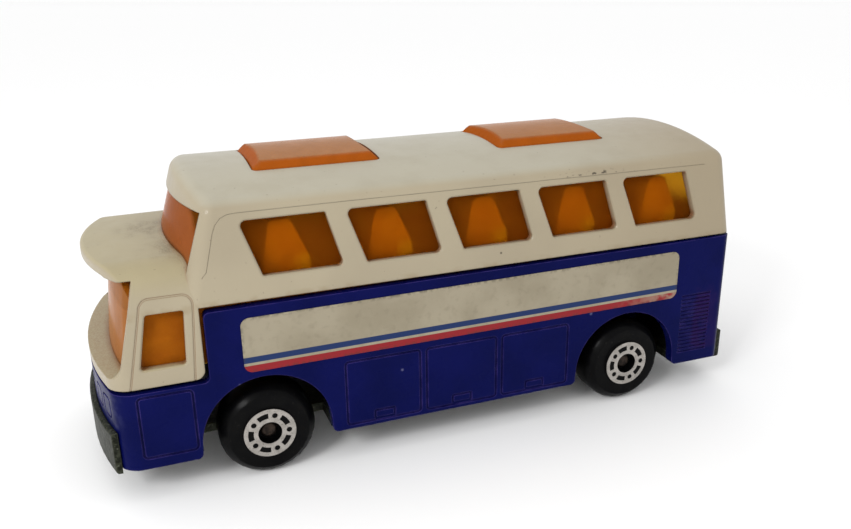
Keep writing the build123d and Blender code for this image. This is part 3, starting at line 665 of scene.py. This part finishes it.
black = Finish("black_plastic", Specular_IOR_Level=0.045, Coat_Weight=0.03, Coat_Roughness=0.15)
tone = black.mix(black.clouds(size=1.5, low=0.35, high=0.7, detail=4.0), BLACK, BLACK_RUBBED)
tone = black.mix(black.clouds(size=0.35, low=0.66, high=0.72, detail=4.0), tone, SCRATCH, most=0.25)
gloss = black.between(black.noise(size=0.8, detail=4.0), low=0.24, high=0.42)
rounded = black.edges(TYRE_EDGE)[0]
black.surface(tone, gloss, black.noise(size=0.5, detail=4.0), depth=0.008, normal=rounded)
black.tell("its scratches")

# %% [markdown]
# ## Turned wheels: the section
# Each wheel is one black moulding: a well for the axle's head, a raised hub, a flat side wall with a
# crisp ring round it, a rounded shoulder, a plain tread and a hollow back. It could be cut from a
# cylinder by insets, but a round thing like this is easier drawn as half a section and spun, as on a
# lathe. The radius, the width and the place come from the frame's own wheel.

# %% Draw the wheel's section
AXLE_BORE = 0.75
WELL_RADIUS = 1.23
WELL_DEPTH = 1.1
HUB_RADIUS = 2.85
HUB_RISE = 0.2
GROOVE_DEPTH = 0.06
GROOVE_WIDTH = 0.5
GROOVE_LIP = 0.08
RING_INSET = 1.0
RING_HALF_WIDTH = 0.1
RING_FALL = (0.22, 0.1)  # out from the ring, back from the wall
SHOULDER = ((0.45, 0.4), (0.15, 0.78), (0.03, 1.1), (0.0, 1.4))  # drop from the tread, depth from the wall
BACK_EDGE = ((0.0, 0.6), (0.1, 0.2), (0.35, 0.0))  # drop from the tread, distance from the back
BOSS_RADIUS = 1.6
DISH_DEPTH = 2.6

first_wheel = "wheel_front_left"
low, high = [Vector(corner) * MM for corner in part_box(first_wheel)]
tyre_radius = (high.z - low.z) / 2
tyre_width = high.y - low.y
axle = Vector(((low.x + high.x) / 2, high.y, (low.z + high.z) / 2))
ring = tyre_radius - RING_INSET
# each corner is a radius and a depth from the hub's face, from the bore out over the tyre and back inside
well = [(AXLE_BORE, WELL_DEPTH), (WELL_RADIUS, WELL_DEPTH), (WELL_RADIUS, 0.0)]
hub = [(HUB_RADIUS, 0.0), (HUB_RADIUS, HUB_RISE + GROOVE_DEPTH),
       (HUB_RADIUS + GROOVE_WIDTH, HUB_RISE + GROOVE_LIP)]
wall = [(ring - RING_HALF_WIDTH, HUB_RISE), (ring + RING_HALF_WIDTH, HUB_RISE),
        (ring + RING_FALL[0], HUB_RISE + RING_FALL[1])]
shoulder = [(tyre_radius - drop, HUB_RISE + depth) for drop, depth in SHOULDER]
back_edge = [(tyre_radius - drop, tyre_width - distance) for drop, distance in BACK_EDGE]
dish = [(ring, tyre_width), (ring, DISH_DEPTH), (BOSS_RADIUS, DISH_DEPTH), (BOSS_RADIUS, tyre_width)]
bore = [(AXLE_BORE, tyre_width), (AXLE_BORE, WELL_DEPTH)]
section = well + hub + wall + shoulder + back_edge + dish + bore
corners = [Vector((axle.x + radius, axle.y - depth, axle.z)) / MM for radius, depth in section]
print("the section has", len(corners), "corners on a tyre of radius", round(tyre_radius, 2), "mm")


# %% [markdown]
# ## Turned wheels: the spin
# A small plane, the seed, is merged to one point. The point is extruded from corner to corner, and Spin
# turns the chain about the axle. A screw modifier would also do, but Spin gives the mesh at once. The last
# step of the turn meets the first, so the doubles are merged, and the faces are then turned outwards.

# %% Spin one wheel
SPIN_STEPS = 28
CRISP_ANGLE = math.radians(32)
MERGE_WITHIN = 1e-6
SEED_SIZE = 0.001


def draw_chain(name, corners):
    """An object of edges from corner to corner, made by extruding one point; it stays in edit mode."""
    bpy.ops.object.select_all(action="DESELECT")
    bpy.ops.mesh.primitive_plane_add(size=SEED_SIZE)
    chain = bpy.context.object
    chain.name = name
    bpy.ops.object.mode_set(mode="EDIT")
    bpy.ops.mesh.select_all(action="SELECT")
    bpy.ops.mesh.merge(type="CENTER")
    bpy.ops.transform.translate(value=corners[0])
    for start, end in zip(corners, corners[1:]):
        bpy.ops.mesh.extrude_vertices_move(TRANSFORM_OT_translate={"value": end - start})
    return chain


spun = draw_chain("spun_wheel", corners)
bpy.ops.mesh.select_all(action="SELECT")
bpy.ops.mesh.spin(steps=SPIN_STEPS, angle=2 * math.pi, center=axle / MM, axis=(0, 1, 0))
bpy.ops.mesh.select_all(action="SELECT")
bpy.ops.mesh.remove_doubles(threshold=MERGE_WITHIN)
bpy.ops.mesh.normals_make_consistent(inside=False)
bpy.ops.object.mode_set(mode="OBJECT")
bpy.ops.object.shade_smooth_by_angle(angle=CRISP_ANGLE)
print("the spun wheel has", len(spun.data.polygons), "faces")


# %% [markdown]
# ## Turned wheels: the other three
# The wheels are alike, so the other three are copies of the first. Each copy has a mesh of its own, is
# turned half round for the right side, and is moved in edit mode, so its place is in its mesh. Every
# wheel then takes the place of the frame's plain one and rides on that wheel's body.

# %% Copy the wheel
def finish_wheel(wheel, name):
    """Gives a wheel its name, its black plastic and its body."""
    wheel.name = name.replace("wheel", "tyre")
    wheel.data.name = wheel.name
    wheel.data.materials.clear()
    wheel.data.materials.append(black.material)
    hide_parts(name)
    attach(wheel, name)
    print(wheel.name, "rides on", name)


wheel_names = sorted(name for name in nodes if name.startswith("wheel_"))
for name in wheel_names:
    if name == first_wheel:
        continue
    low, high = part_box(name)
    bpy.ops.object.select_all(action="DESELECT")
    spun.select_set(True)
    bpy.context.view_layer.objects.active = spun
    bpy.ops.object.duplicate()
    wheel = bpy.context.object
    bpy.ops.object.mode_set(mode="EDIT")
    bpy.ops.mesh.select_all(action="SELECT")
    if name.endswith("right"):
        bpy.ops.transform.rotate(value=math.pi, orient_axis="Z", center_override=(axle.x / MM, 0, 0))
    bpy.ops.transform.translate(value=((low[0] + high[0]) / 2 - axle.x / MM, 0, 0))
    bpy.ops.object.mode_set(mode="OBJECT")
    finish_wheel(wheel, name)
finish_wheel(spun, first_wheel)

# %% [markdown]
# ## Panel line: its path
# A fine raised line runs round the window panel on each side: up behind the front corner, round a small
# curve and back along the foot of the roof. The path is drawn flat first, as length and height: a short
# tail, a rise, a turn and a long run.

# %% Lay out the panel line
LINE_TAIL = Vector((0.5, -0.55))
LINE_FOOT = Vector((25.6, 23.9))
LINE_CORNER = Vector((24.15, 29.6))
LINE_REAR = Vector((-33.0, 29.3))
LINE_ROUND = 2.0
RISE_STEPS = (0.33, 0.66)
TURN_STEPS = (0.0, 0.25, 0.5, 0.75, 1.0)
RUN_COUNT = 24

start = LINE_CORNER + (LINE_FOOT - LINE_CORNER).normalized() * LINE_ROUND
stop = LINE_CORNER + (LINE_REAR - LINE_CORNER).normalized() * LINE_ROUND
rise = [LINE_FOOT + LINE_TAIL, LINE_FOOT] + [LINE_FOOT.lerp(start, step) for step in RISE_STEPS]
turn = [start.lerp(LINE_CORNER, step).lerp(LINE_CORNER.lerp(stop, step), step) for step in TURN_STEPS]
run = [stop.lerp(LINE_REAR, step / RUN_COUNT) for step in range(1, RUN_COUNT + 1)]
path = rise + turn + run
print("the panel line has", len(path), "points over", round(path[0].x - path[-1].x, 1), "mm of the side")

# %% [markdown]
# ## Panel line: on the shell
# The chain is set near the wall and drawn onto the shell by Shrinkwrap, so it follows the shell's own
# shape. As a curve it then gets a thin round section, half of it proud of the wall. A bump in the
# material would be quicker, but it would be lost in the exported mesh.

# %% Draw the panel lines
LINE_RADIUS = 0.03
LINE_ROUNDNESS = 1
WALL_Y = 13.0

for side, sign in (("left", 1), ("right", -1)):
    line = draw_chain("panel_line_" + side, [Vector((p.x, sign * WALL_Y, p.y)) / MM for p in path])
    bpy.ops.object.mode_set(mode="OBJECT")
    wrap = line.modifiers.new("wrap", "SHRINKWRAP")
    wrap.target = nodes["upper"]
    bpy.ops.object.modifier_apply(modifier="wrap")
    bpy.ops.object.convert(target="CURVE")
    line = bpy.context.object
    line.data.bevel_depth = LINE_RADIUS / MM
    line.data.bevel_resolution = LINE_ROUNDNESS
    line.data.use_fill_caps = True
    bpy.ops.object.convert(target="MESH")
    line = bpy.context.object
    bpy.ops.object.shade_smooth()
    line.data.materials.clear()
    line.data.materials.append(cream.material)
    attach(line, "shell")
    print(line.name, "has", len(line.data.polygons), "faces")

# %% [markdown]
# ## Paper labels: the stripes
# Each side has a long paper label, stuck on a little out of level. It is plain but for two stripes, a
# blue one over a red one along its foot. Thin strips of mesh could be laid on for them, but ink has no
# thickness, so they are bands of the height above the label's own tilted middle line. The red is worn
# thin at the rear.

# %% Label paper: paper and stripes
PAPER = swatch(152, 143, 123)
PAPER_GREY = swatch(140, 131, 111)
GRIME = swatch(112, 102, 84)
STRIPE_RED = swatch(134, 32, 38)
STRIPE_BLUE = swatch(28, 46, 88)
RED_FROM_TO = (-3.2, -2.25)
BLUE_FROM_TO = (-1.95, -1.3)
STRIPE_SOFT = 0.03
RED_WORN_X = (-20.0, -29.0)
LABEL_TILT = math.tan(math.radians(0.35))

label_low, label_high = [Vector(corner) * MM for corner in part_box("label_left")]
label_mid = (label_low + label_high) / 2
paper = Finish("label_paper", Specular_IOR_Level=0.15)
lean = paper.math("MULTIPLY", paper.math("SUBTRACT", paper.x, label_mid.x), LABEL_TILT)
height = paper.math("ADD", paper.math("SUBTRACT", paper.z, label_mid.z), lean)
tone = paper.mix(paper.clouds(size=5.0, low=0.35, high=0.7, detail=4.0), PAPER, PAPER_GREY)
tone = paper.mix(paper.clouds(size=0.8, low=0.5, high=0.75, detail=5.0), tone, GRIME, most=0.25)
red_worn = paper.both(paper.ramp(paper.x, *RED_WORN_X), paper.clouds(1.0, 0.35, 0.6, detail=4.0))
red_left = paper.between(red_worn, low=1.0, high=0.35)
tone = paper.mix(paper.both(paper.band(height, *RED_FROM_TO, soft=STRIPE_SOFT), red_left), tone, STRIPE_RED)
tone = paper.mix(paper.band(height, *BLUE_FROM_TO, soft=STRIPE_SOFT), tone, STRIPE_BLUE)
paper.tell("its stripes")

# %% [markdown]
# ## Paper labels: the rubbed border
# The paper's border is dark and speckled where years of fingers have rubbed it. The distance from the
# nearest edge is the smaller of the distance from the ends and from the long sides, and noise breaks it
# into specks.

# %% Label paper: border
BORDER_DARK = swatch(56, 50, 46)
BORDER_WIDTH = 0.4
HALF_HEIGHT = 3.0

from_end = paper.math("MINIMUM", paper.math("SUBTRACT", paper.x, label_low.x),
                      paper.math("SUBTRACT", label_high.x, paper.x))
from_side = paper.math("SUBTRACT", HALF_HEIGHT, paper.math("ABSOLUTE", height))
from_border = paper.math("MINIMUM", from_end, from_side)
rubbed = paper.both(paper.ramp(from_border, BORDER_WIDTH, 0.0), paper.clouds(0.45, 0.42, 0.62, detail=4.0))
tone = paper.mix(rubbed, tone, BORDER_DARK, most=0.45)
gloss = paper.between(paper.noise(size=1.5, detail=3.0), low=0.35, high=0.6)
paper.surface(tone, gloss, paper.noise(size=0.6, detail=4.0), depth=0.01)
paper.coat("label_left", "label_right")

# %% [markdown]
# ## Size
# The finishes and the fine forms must not change the toy's size.
